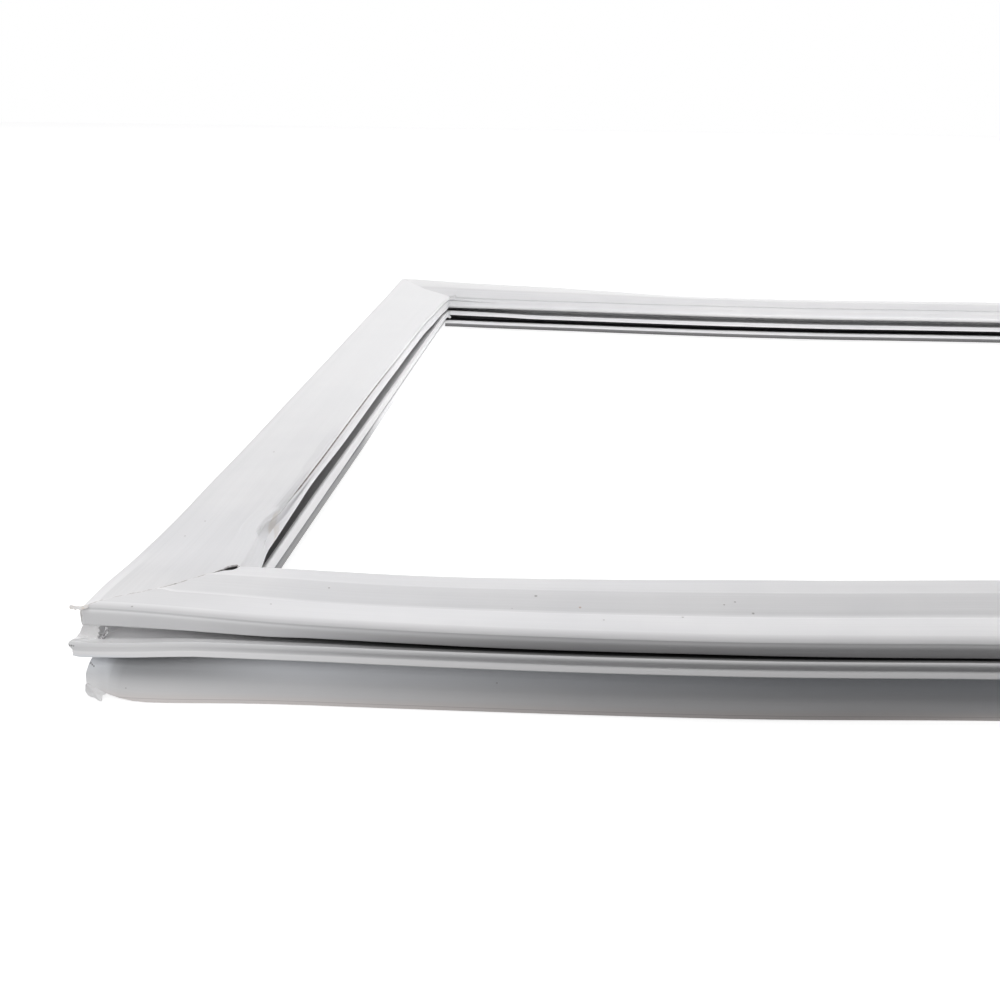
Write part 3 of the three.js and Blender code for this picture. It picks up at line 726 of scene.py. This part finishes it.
def pvc_material(name, shaded_and_worn=True, frayed_and_shade_share=0.4, frayed_and_shade_tint=FRAYED):
    """Soft white PVC: for the frame, with painted shade and painted highlights, seams and stains, and frayed
    for its torn scraps, one of which has a dark tint of painted shade.
    """
    mat = bpy.data.materials.new(name)
    net = Net(mat)
    shader = net.nodes["Principled BSDF"]
    shader.inputs["Specular IOR Level"].default_value = 0.3
    place_mm = net.places()
    cloud = net.noise(place_mm, 0.022, 3)
    colour = net.mix(net.band(cloud, 0.35, 0.65), PVC_GREY, PVC_PALE)
    if shaded_and_worn:
        line, shade_and_seam = net.attribute("line"), net.attribute("shade_and_seam")
        girth, along = line[0], line[1]
        dark, from_mitre, strength = shade_and_seam[0], shade_and_seam[1], shade_and_seam[2]
        across = net.math("MULTIPLY", girth, 1.5)
        drawn_out = net.math("MULTIPLY", along, 0.012)
        drawn = net.add("CombineXYZ", {0: across, 1: drawn_out})
        streaks = net.noise(drawn.outputs[0], 1.0, 5)
        colour = net.mix(net.band(streaks, 0.3, 0.7, 0.0, 0.06), colour, STREAK)
        # Painted highlight: where the shade value is below 0, the colour goes towards white.
        colour = net.mix(net.band(dark, 0.0, -1.0, 0.0, 0.9), colour, PAINTED_HIGHLIGHT_WHITE)
        colour = with_seam(net, colour, place_mm, from_mitre, strength)
        spot = net.split(place_mm)
        patchy = net.noise(place_mm, 0.35, 4)
        colour = with_groove_stain(net, colour, spot, patchy, girth)
        colour = with_tan_runs(net, colour, spot, patchy)
        colour = with_skirt_tints(net, colour, spot)
        colour = with_specks(net, colour, place_mm)
        # Painted shade: where the shade value is above 0, the colour goes towards near black, deep in slots
        # and crevices.
        colour = net.mix(net.band(dark, 0.0, 1.0, 0.0, 0.97), colour, PAINTED_SLOT_SHADE)
    else:
        streaks = net.noise(place_mm, 0.9, 4)
        tint_patches = net.noise(place_mm, 2.4, 3)
        colour = net.mix(net.band(tint_patches, 0.35, 0.7, 0.0, frayed_and_shade_share), colour, frayed_and_shade_tint)
    net.feed(shader.inputs["Base Color"], colour)
    net.feed(shader.inputs["Roughness"], net.band(streaks, 0.25, 0.75, 0.46, 0.6))
    fine = net.noise(place_mm, 6.0, 2)
    height = net.math("ADD", streaks, net.math("MULTIPLY", fine, 0.15))
    bump = net.add("Bump", {"Strength": 0.14, "Distance": 0.0003, "Height": height})
    net.feed(shader.inputs["Normal"], bump.outputs["Normal"])
    return mat


def with_seam(net, colour, place_mm, from_mitre, strength):
    """Welded mitre: a wavering dark line between two pale ones."""
    waver = net.math("MULTIPLY", net.math("SUBTRACT", net.noise(place_mm, 0.55, 4), 0.5), 2.2)
    away = net.math("ABSOLUTE", net.math("ADD", from_mitre, waver))
    broken = net.band(net.noise(place_mm, 1.3, 2), 0.38, 0.6, 0.55, 0.9)
    strength = net.math("MULTIPLY", strength, net.band(net.split(place_mm)[2], *SEAM_Z))
    pale = net.math("MULTIPLY", net.band(away, 0.85, 0.3), net.math("MULTIPLY", strength, 0.6))
    thin = net.math("MULTIPLY", net.band(away, 0.32, 0.1), net.math("MULTIPLY", strength, broken))
    colour = net.mix(pale, colour, SEAM_PALE)
    return net.mix(net.math("MULTIPLY", thin, 0.7), colour, SEAM_BROWN)


def with_groove_stain(net, colour, spot, patchy, girth):
    """Brown line in the groove under the left pocket's edge, up to the pinched end."""
    from_groove = net.math("ABSOLUTE", net.math("SUBTRACT", girth, float(GROOVE_GIRTH) + 0.25))
    near = net.math("MULTIPLY", net.band(spot[1], *GROOVE_NEAR_Y), net.band(spot[1], *GROOVE_END_Y))
    near = net.math("MULTIPLY", net.band(spot[0], *GROOVE_X), near)
    groove = net.math("MULTIPLY", net.band(from_groove, 0.6, 0.25), near)
    groove = net.math("MULTIPLY", groove, net.band(patchy, 0.3, 0.6, 0.72, 0.95))
    return net.mix(groove, colour, GROOVE_BROWN)


def with_tan_runs(net, colour, spot, patchy):
    """Two slanting tan runs on the wall of the pinched end."""
    below = net.math("SUBTRACT", RUN_TOP_Z, spot[2])
    slant = net.math("ADD", spot[1], net.math("MULTIPLY", below, RUN_SLOPE))
    slant = net.math("ADD", slant, net.math("SUBTRACT", patchy, 0.5))
    runs = [net.band(net.math("ABSOLUTE", net.math("ADD", slant, offset)), *RUN_WIDTH, 0.0, strength)
            for offset, strength in RUNS]
    wall = net.math("MULTIPLY", net.band(spot[0], *RUN_X), net.band(spot[2], *RUN_UPPER_Z))
    lower = net.math("MULTIPLY", net.band(spot[2], *RUN_LOWER_Z), net.band(spot[0], *RUN_END_X))
    wall = net.math("MULTIPLY", wall, lower)
    return net.mix(net.math("MULTIPLY", net.math("ADD", *runs), wall), colour, RUN_TAN)


def with_skirt_tints(net, colour, spot):
    """Front skirt: warm foot, a thin grey rim of painted shade along the foot's edge, and a cool tint of
    painted shade on its upper part.
    """
    front = net.band(spot[1], *FRONT_SKIRT_Y)
    foot = net.math("MULTIPLY", net.band(spot[2], *SKIRT_WARM_Z, 0.0, 0.55), front)
    colour = net.mix(foot, colour, SKIRT_WARM)
    from_rim = net.math("ABSOLUTE", net.math("SUBTRACT", spot[2], SKIRT_RIM_SHADE_Z))
    rim = net.math("MULTIPLY", net.band(from_rim, 0.14, 0.03), front)
    colour = net.mix(net.math("MULTIPLY", rim, 0.35), colour, SKIRT_RIM_SHADE)
    cool_shade = net.math("MULTIPLY", net.band(spot[2], *SKIRT_COOL_SHADE_Z, 0.0, 0.5), front)
    cool_shade = net.math("MULTIPLY", cool_shade, net.band(spot[2], *SKIRT_COOL_SHADE_TOP_Z))
    return net.mix(cool_shade, colour, SKIRT_COOL_SHADE)


def with_specks(net, colour, place_mm):
    for x, y, z, radius, tint in SPECKS:
        gap = net.vector("DISTANCE", place_mm, (x, y, z))
        colour = net.mix(net.band(gap, radius, radius * 0.3, 0.0, 0.7), colour, tint)
    return colour


def magnet_material():
    mat = bpy.data.materials.new("flexible_magnet")
    net = Net(mat)
    shader = net.nodes["Principled BSDF"]
    grain = net.noise(net.places(), 0.9, 4)
    net.feed(shader.inputs["Base Color"], net.mix(grain, MAGNET_DARK, MAGNET_BROWN))
    net.feed(shader.inputs["Roughness"], net.band(grain, 0.2, 0.8, 0.55, 0.8))
    return mat


def finish_piece(obj, material, sharp_angle=50):
    """Gives a piece its material, shades it smooth with sharp edges past an angle, and lets it ride with the
    frame.
    """
    obj.data.materials.append(material)
    for polygon in obj.data.polygons:
        polygon.use_smooth = True
    obj.data.set_sharp_from_angle(angle=math.radians(sharp_angle))
    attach(obj, "root")


ROUGH_MM = 0.05


def upright(outline, y, lean=0.0):
    """Places at one depth from an outline in x and z; lean moves them outward below the first point."""
    top = outline[0][1]
    return [(x, y - lean * (top - z), z) for x, z in outline]


def scrap(name, outline, thickness, bulge, material, seed):
    """Thin torn flap or fringe: a plate in the outline, given as places in mm on the row frame."""
    rng = random.Random(seed)
    closed = np.array(outline, float)
    count = len(closed)
    rim = []
    for k in range(count):
        a, b, c, d = (closed[(k + n) % count] for n in (-1, 0, 1, 2))
        for t in (0, 0.25, 0.5, 0.75):
            rim.append(0.5 * (2 * b + (c - a) * t + (2 * a - 5 * b + 4 * c - d) * t * t
                              + (3 * b - a - 3 * c + d) * t * t * t))
    rim = np.array(rim) + np.array([[rng.uniform(-ROUGH_MM, ROUGH_MM) for _ in range(3)] for _ in rim])
    middle = rim.mean(axis=0)
    size = len(rim)
    radii = (1, 0.75, 0.5, 0.25)
    front = [middle + (rim - middle) * r - (0, bulge * (1 - r * r), 0) for r in radii]
    back = [ring + (0, thickness * (0.6 + 0.4 * (1 - r)), 0) for ring, r in zip(front, radii)]
    ends = [middle[None] - (0, bulge, 0), middle[None] + (0, thickness - bulge, 0)]
    verts = np.concatenate(front + back + ends)
    faces = []
    for k in range(size):
        n = (k + 1) % size
        for ring in range(3):
            a, b = ring * size, (ring + 1) * size
            faces.append((a + k, a + n, b + n, b + k))
            a, b = (ring + 4) * size, (ring + 5) * size
            faces.append((a + n, a + k, b + k, b + n))
        faces.append((k, 4 * size + k, 4 * size + n, n))
        faces.append((3 * size + k, 3 * size + n, 8 * size))
        faces.append((7 * size + n, 7 * size + k, 8 * size + 1))
    mesh = bpy.data.meshes.new(name)
    half = (SIZE_X / 2, SIZE_Y / 2, 0)
    mesh.from_pydata(((verts - half) * MM).tolist(), [], faces)
    obj = bpy.data.objects.new(name, mesh)
    bpy.context.scene.collection.objects.link(obj)
    finish_piece(obj, material)


def strand(name, path, radius, material, sides=8, steps=6):
    """Thin round strand along a path given in mm on the row frame."""
    path = np.array(path, float) - (SIZE_X / 2, SIZE_Y / 2, 0)
    marks = np.arange(len(path))
    at = np.linspace(0, len(path) - 1, (len(path) - 1) * steps + 1)
    line = np.stack([curve_at(marks, path[:, k], at) for k in range(3)], -1)
    ahead = np.gradient(line, axis=0)
    ahead /= np.linalg.norm(ahead, axis=1)[:, None]
    across = np.cross(ahead, (0, 1, 0.2))
    across /= np.linalg.norm(across, axis=1)[:, None]
    other = np.cross(ahead, across)
    thin = radius * np.sin(math.pi * np.linspace(0.08, 0.92, len(line))) ** 0.5
    turn = np.linspace(0, 2 * math.pi, sides, endpoint=False)
    rings = (line[:, None] + thin[:, None, None] * (np.cos(turn)[None, :, None] * across[:, None]
                                                    + np.sin(turn)[None, :, None] * other[:, None]))
    verts = np.concatenate([rings.reshape(-1, 3), line[:1], line[-1:]]) * MM
    faces, last = [], (len(line) - 1) * sides
    for k in range(sides):
        n = (k + 1) % sides
        faces += [(r + k, r + n, r + sides + n, r + sides + k) for r in range(0, last, sides)]
        faces.append((len(verts) - 2, n, k))
        faces.append((len(verts) - 1, last + k, last + n))
    mesh = bpy.data.meshes.new(name)
    mesh.from_pydata(verts.tolist(), [], faces)
    obj = bpy.data.objects.new(name, mesh)
    bpy.context.scene.collection.objects.link(obj)
    finish_piece(obj, material)


PVC = pvc_material("soft_white_pvc")
TAN_FLASH = pvc_material("tan_flash_pvc", shaded_and_worn=False, frayed_and_shade_share=0.5, frayed_and_shade_tint=FRAYED_TAN)
PALE_FLASH = pvc_material("pale_flash_pvc", shaded_and_worn=False, frayed_and_shade_share=0.12)
# The slot's curl is tinted dark grey in patches: painted shade.
CURL_SHADE_PVC = pvc_material("curl_painted_shade_pvc", shaded_and_worn=False, frayed_and_shade_share=1.0, frayed_and_shade_tint=CURL_SHADE_GREY)
finish_piece(body, PVC)
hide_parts("gasket_frame")

# Outlines of the torn scraps, in mm on the row frame: (x, z), and for the strand (x, y, z)
TONGUE = [(1.2, 23.5), (0.2, 23.15), (-0.8, 23.1), (-1.7, 23.1), (-2.7, 23.2), (-3.2, 23.3), (-3.2, 22.85),
          (-2.9, 22.4), (-2.25, 22.6), (-1.7, 22.3), (-1, 22.5), (-0.55, 22.3), (0.2, 22.5), (1.2, 22.9)]
WEB = [(-0.4, 18.3), (1.1, 18.5), (2.5, 18.4), (3.6, 18.0), (3, 17.4), (3.4, 16.8), (2.9, 16.1), (3.2, 15.5),
       (2.6, 15.1), (2.8, 14.6), (0.8, 14.4), (-1.1, 14.2), (-2.3, 14), (-1.5, 16.2)]
CURL = [(3.4, 14.3), (4.3, 14.8), (5.2, 15.8), (5.5, 17.0), (4.9, 18), (4.7, 17), (4.5, 16), (3.9, 15.3),
        (3.3, 14.9)]
TAB = [(29, 17.4), (31.3, 18.1), (33.1, 19.1), (32.8, 20.4), (31, 19.9), (29.3, 18.8)]
BIT = [(26, 8.6), (28.3, 8.4), (30, 7.3), (29.8, 6.2), (28.3, 6.5), (26.5, 6.4)]
TAIL = [(-0.6, -0.6, 3.3), (0.6, -0.4, 3.6), (1.8, -0.4, 3.6), (3.1, -0.6, 3.2), (4.9, -1.1, 2.5),
        (4.5, -1.7, 1.4), (3.8, -2, 1), (3.8, -2.5, 0.5), (3.9, -2.9, 0.1), (3.5, -3, 0.05),
        (2.9, -2.75, 0.15), (2.2, -2.4, 0.5), (1, -2.2, 0.7), (0.1, -1.85, 1), (-0.5, -1.3, 1.5),
        (-0.7, -1, 1.9)]
TAIL_RIM = [(-0.55, -1.1, 2.1), (-0.3, -0.95, 2.45), (0.6, -0.85, 2.75), (1.8, -0.9, 2.8), (3.1, -1.15, 2.5),
            (4.7, -1.5, 2.1)]
scrap("flash_tongue", upright(TONGUE, -0.1, lean=0.7), 0.4, 0.05, TAN_FLASH, 1)
scrap("slot_web", upright(WEB, 0.5), 0.3, 0.1, PALE_FLASH, 2)
# The curl's dark grey is painted shade.
scrap("slot_curl", upright(CURL, 0.4), 0.3, 0.2, CURL_SHADE_PVC, 3)
scrap("torn_tail", TAIL, 0.35, 0.35, PALE_FLASH, 4)
strand("tail_rim", TAIL_RIM, 0.22, PALE_FLASH)
scrap("far_corner_tab", upright(TAB, 540), 0.4, 0.1, PALE_FLASH, 5)
scrap("far_fin_bit", upright(BIT, 540.3), 0.4, 0.1, PALE_FLASH, 6)
MAGNET = magnet_material()
for name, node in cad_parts.items():
    if name.startswith("magnet_strip"):
        node.data.materials.clear()
        node.data.materials.append(MAGNET)


# Floor, world and lights
# Floor, in mm on the object: for light it is bright behind the front side and dark in front of it, and behind
# the front side it glows, though it is no lamp
FRONT_Y, LEFT_X = -SIZE_Y / 2, -SIZE_X / 2
FLOOR_MM, FLOOR_DROP_MM = 4000, 0.3
FLOOR_DARK, FLOOR_BRIGHT = (0.05, 0.052, 0.056, 1), (0.85, 0.85, 0.85, 1)


def studio_floor():
    """Pale floor: white to the camera apart from the shadow; in front of the object it bounces little, and
    behind the front side it glows to light the object, though it is no lamp.
    """
    mesh = bpy.data.meshes.new("studio_floor")
    far = FLOOR_MM * MM
    mesh.from_pydata([(-far, -far, 0), (far, -far, 0), (far, far, 0), (-far, far, 0)], [], [(0, 1, 2, 3)])
    plane = bpy.data.objects.new("studio_floor", mesh)
    plane.location = (0, 0, -FLOOR_DROP_MM * MM)
    bpy.context.scene.collection.objects.link(plane)
    mat = bpy.data.materials.new("studio_floor")
    net = Net(mat)
    shader = net.nodes["Principled BSDF"]
    shader.inputs["Base Color"].default_value = (0.5, 0.5, 0.5, 1)
    shader.inputs["Roughness"].default_value = 1.0
    shader.inputs["Specular IOR Level"].default_value = 0.0
    glow = net.add("Emission", {"Strength": 0.78})
    seen = net.add("AddShader", {0: shader.outputs[0], 1: glow.outputs[0]})
    spot = net.split(net.places())
    behind = net.band(spot[1], FRONT_Y - 1, FRONT_Y + 13)
    strip = net.band(spot[1], FRONT_Y - 15, FRONT_Y - 2)
    strip = net.math("MULTIPLY", strip, net.band(spot[0], LEFT_X + 20, LEFT_X + 220, 0.55, 0.12))
    behind = net.math("MAXIMUM", behind, strip)
    left = net.band(spot[0], LEFT_X + 200, LEFT_X + 50)
    lit = net.math("MAXIMUM", behind, net.math("MULTIPLY", left, 0.25))
    grey = net.mix(lit, FLOOR_DARK, FLOOR_BRIGHT)
    bounce = net.add("BsdfDiffuse", {"Color": grey})
    farther = net.band(spot[1], FRONT_Y + 85, FRONT_Y + 545, 0.5, 0.95)
    # Painted light: for light rays the floor glows behind the front side, more so farther back.
    glowing_floor = net.add("Emission", {"Strength": net.math("MULTIPLY", behind, farther)})
    unseen = net.add("AddShader", {0: bounce.outputs[0], 1: glowing_floor.outputs[0]})
    path = net.add("LightPath")
    mix = net.add("MixShader", {0: path.outputs["Is Camera Ray"], 1: unseen.outputs[0], 2: seen.outputs[0]})
    net.feed(net.nodes["Material Output"].inputs["Surface"], mix.outputs[0])
    mesh.materials.append(mat)


def studio_world():
    """White to the camera; for light, bright behind and at the sides and dark in front."""
    world = bpy.data.worlds.new("studio")
    bpy.context.scene.world = world
    net = Net(world)
    net.nodes.clear()
    ray = net.split(net.add("TexCoord").outputs["Generated"])
    behind = net.band(ray[1], -0.1, 0.8, 0.09, 0.8)
    left = net.band(ray[0], -0.3, -0.9, 0.0, 0.5)
    right = net.band(ray[0], 0.3, 0.9, 0.0, 0.45)
    strength = net.math("MAXIMUM", net.math("MAXIMUM", behind, left), right)
    room = net.add("Background", {"Color": (0.99, 0.98, 1.0, 1), "Strength": strength})
    white = net.add("Background", {"Color": (1, 1, 1, 1), "Strength": 1.0})
    path = net.add("LightPath")
    mix = net.add("MixShader", {0: path.outputs["Is Camera Ray"], 1: room.outputs[0], 2: white.outputs[0]})
    net.feed(net.add("OutputWorld").inputs["Surface"], mix.outputs[0])


def area_light(name, spot, target, size, power):
    data = bpy.data.lights.new(name, "AREA")
    data.shape = "RECTANGLE"
    data.size, data.size_y = size
    data.energy = power
    lamp = bpy.data.objects.new(name, data)
    lamp.location = spot
    lamp.rotation_euler = (Vector(target) - Vector(spot)).to_track_quat("-Z", "Y").to_euler()
    lamp.visible_camera = False
    bpy.context.scene.collection.objects.link(lamp)


studio_floor()
studio_world()
area_light("softbox", (-0.2, 2.2, 2.2), (0.0, 0.0, 0), (2.0, 2.0), 31.5)
area_light("overhead", (0.0, -0.95, 2.95), (0.0, -0.3, 0), (1.4, 1.4), 32)
area_light("corner_fill", (-0.345, -0.36, 0.06), (-0.34, -0.285, 0.008), (0.05, 0.04), 0.031)

# Camera
PHOTO_PX = 1000
SENSOR_MM = 36
FOCAL_PX = 1425.55
PITCH, YAW, ROLL = 0.28586, 0.06942, 0.01211
CAMERA_MM = (120.027, -308.743, 143.421)
cam_data = bpy.data.cameras.new("photo_camera")
cam_data.sensor_width = SENSOR_MM
cam_data.lens = SENSOR_MM * FOCAL_PX / PHOTO_PX
cam = bpy.data.objects.new("photo_camera", cam_data)
forward = Vector((-math.sin(YAW) * math.cos(PITCH), math.cos(YAW) * math.cos(PITCH), -math.sin(PITCH)))
level = Vector((math.cos(YAW), math.sin(YAW), 0))
above = level.cross(forward)
right = math.cos(ROLL) * level + math.sin(ROLL) * above
up = -math.sin(ROLL) * level + math.cos(ROLL) * above
turn = Matrix((right, up, -forward)).transposed()
cam.matrix_world = turn.to_4x4()
cam.location = ((CAMERA_MM[0] - SIZE_X / 2) * MM, (CAMERA_MM[1] - SIZE_Y / 2) * MM, CAMERA_MM[2] * MM)
bpy.context.scene.collection.objects.link(cam)
bpy.context.scene.camera = cam
bpy.context.scene.view_settings.view_transform = "Standard"
